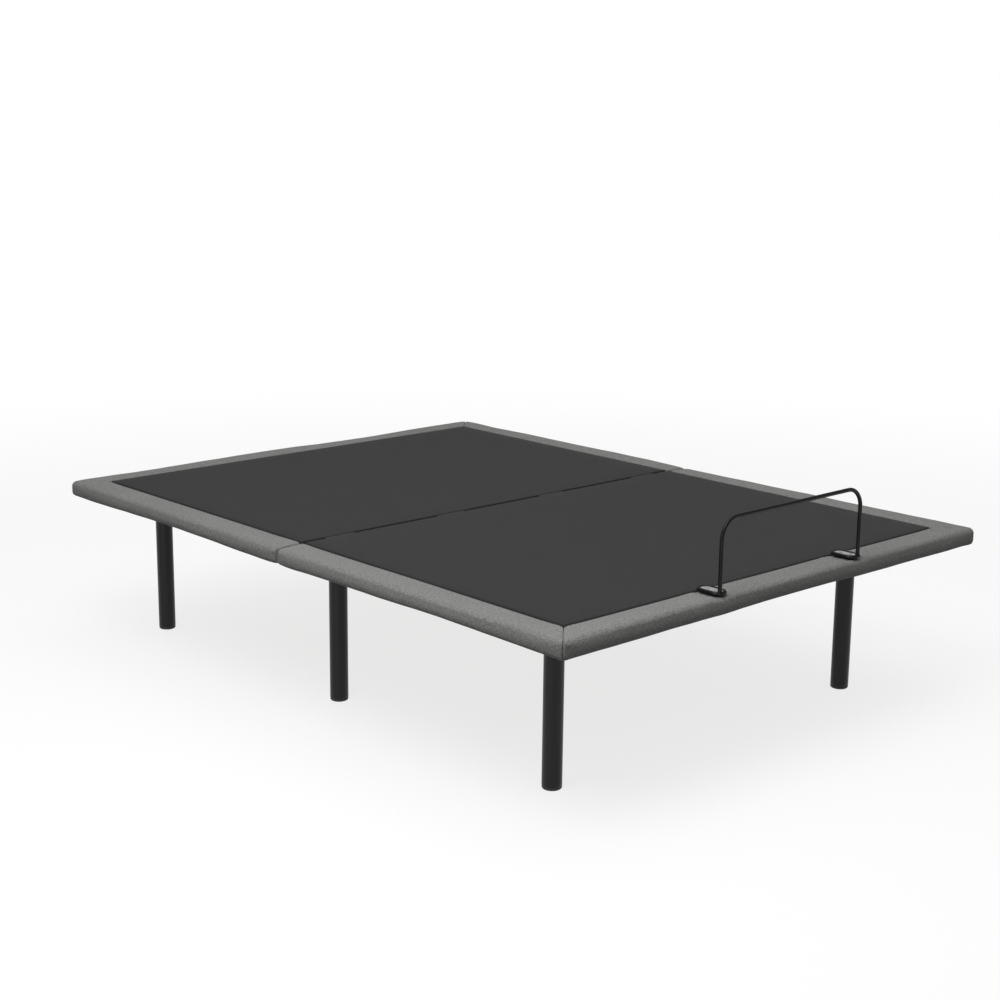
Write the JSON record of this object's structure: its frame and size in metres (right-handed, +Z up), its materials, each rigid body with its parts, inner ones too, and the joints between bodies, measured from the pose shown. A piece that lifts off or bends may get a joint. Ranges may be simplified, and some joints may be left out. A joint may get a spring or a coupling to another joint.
{
  "type": "adjustable bed base",
  "caption": "Low upholstered bed base with a split deck whose head half is raised by a motor, on round black legs, with a wire mattress retainer bar at the foot.",
  "frame": {"origin": "on the floor, below the centre of the bed's outline", "axes": "+X across the bed to the right as seen from the foot end, +Y from the foot end toward the head end, +Z up"},
  "size_m": [1.524, 2.032, 0.64],
  "materials": {
    "border_fabric": "heathered grey woven upholstery",
    "deck_fabric": "charcoal non-slip cover",
    "plywood": "unfinished plywood",
    "timber": "planed softwood",
    "frame_enamel": "satin black powder coat",
    "leg_enamel": "satin black",
    "bar_enamel": "satin black",
    "zinc_hardware": "zinc plated",
    "satin_steel": "satin",
    "black_plastic": "matt moulded",
    "black_rubber": "matt",
    "actuator_plastic": "fine moulded texture",
    "motor_enamel": "satin",
    "lead_jacket": "smooth cable jacket",
    "aluminium_tube": "clear anodised",
    "chromed_steel": "polished"
  },
  "bodies": {
    "base": {"side_tube_left": "frame_enamel", "side_tube_right": "frame_enamel", "cross_tube_foot": "frame_enamel", "cross_tube_motor": "frame_enamel", "cross_tube_center": "frame_enamel", "cross_tube_head": "frame_enamel", "tube_end_caps": "black_plastic", "leg_foot_left": "leg_enamel", "leg_foot_right": "leg_enamel", "leg_center_left": "leg_enamel", "leg_center_right": "leg_enamel", "leg_head_left": "leg_enamel", "leg_head_right": "leg_enamel", "leg_glides": "black_plastic", "leg_studs": "zinc_hardware", "rest_bumpers": "black_rubber", "foot_bearer_left": "frame_enamel", "foot_bearer_right": "frame_enamel", "foot_cross_bearers": "frame_enamel", "foot_deck_board": "plywood", "foot_deck_pad": "deck_fabric", "foot_rail_left": "timber", "foot_rail_right": "timber", "foot_rail_end": "timber", "foot_border_left": "border_fabric", "foot_border_right": "border_fabric", "foot_border_end": "border_fabric", "hinge_leaves_foot": "frame_enamel", "hinge_pins": "zinc_hardware", "hinge_screws_foot": "zinc_hardware", "retainer_bar": "bar_enamel", "retainer_foot_plates": "satin_steel", "retainer_screws": "zinc_hardware", "actuator_bracket": "frame_enamel", "actuator_rear_pin": "zinc_hardware"},
    "head": {"head_deck_board": "plywood", "head_deck_pad": "deck_fabric", "head_rail_left": "timber", "head_rail_right": "timber", "head_rail_end": "timber", "head_border_left": "border_fabric", "head_border_right": "border_fabric", "head_border_end": "border_fabric", "head_bearer_left": "frame_enamel", "head_bearer_right": "frame_enamel", "lift_tube": "frame_enamel", "head_cross_tubes": "frame_enamel", "lever_spine": "frame_enamel", "lever_plates": "frame_enamel", "hinge_leaves_head": "frame_enamel", "hinge_screws_head": "zinc_hardware"},
    "actuator": {"gear_housing": "actuator_plastic", "motor_can": "motor_enamel", "actuator_tube": "aluminium_tube", "control_box": "actuator_plastic", "power_inlet": "actuator_plastic", "motor_lead": "lead_jacket"},
    "rod": {"actuator_rod": "chromed_steel", "crank_pin": "zinc_hardware"},
    "screw": {"lead_screw": "chromed_steel"}
  },
  "joints": [
    {"name": "head_lift", "type": "hinge", "parent": "base", "child": "head", "pos_m": [0, 0, 0.449], "axis": [1, 0, 0], "range_deg": [0, 60]},
    {"name": "actuator_swing", "type": "hinge", "parent": "base", "child": "actuator", "pos_m": [0, -0.43, 0.359], "axis": [1, 0, 0], "range_deg": [-1, 2]},
    {"name": "rod_stroke", "type": "slide", "parent": "actuator", "child": "rod", "axis": [0, 0.9988, -0.0494], "range_m": [0, 0.1215]},
    {"name": "screw_turn", "type": "hinge", "parent": "actuator", "child": "screw", "pos_m": [0, -0.43, 0.359], "axis": [0, 0.9988, -0.0494], "range_deg": [-10, 5500]}
  ],
  "couplings": [
    {"joint": "actuator_swing", "follows": "head_lift", "ratio": 0.02287},
    {"joint": "rod_stroke", "follows": "head_lift", "m_per_rad": 0.11497},
    {"joint": "screw_turn", "follows": "head_lift", "ratio": 90.301}
  ]
}
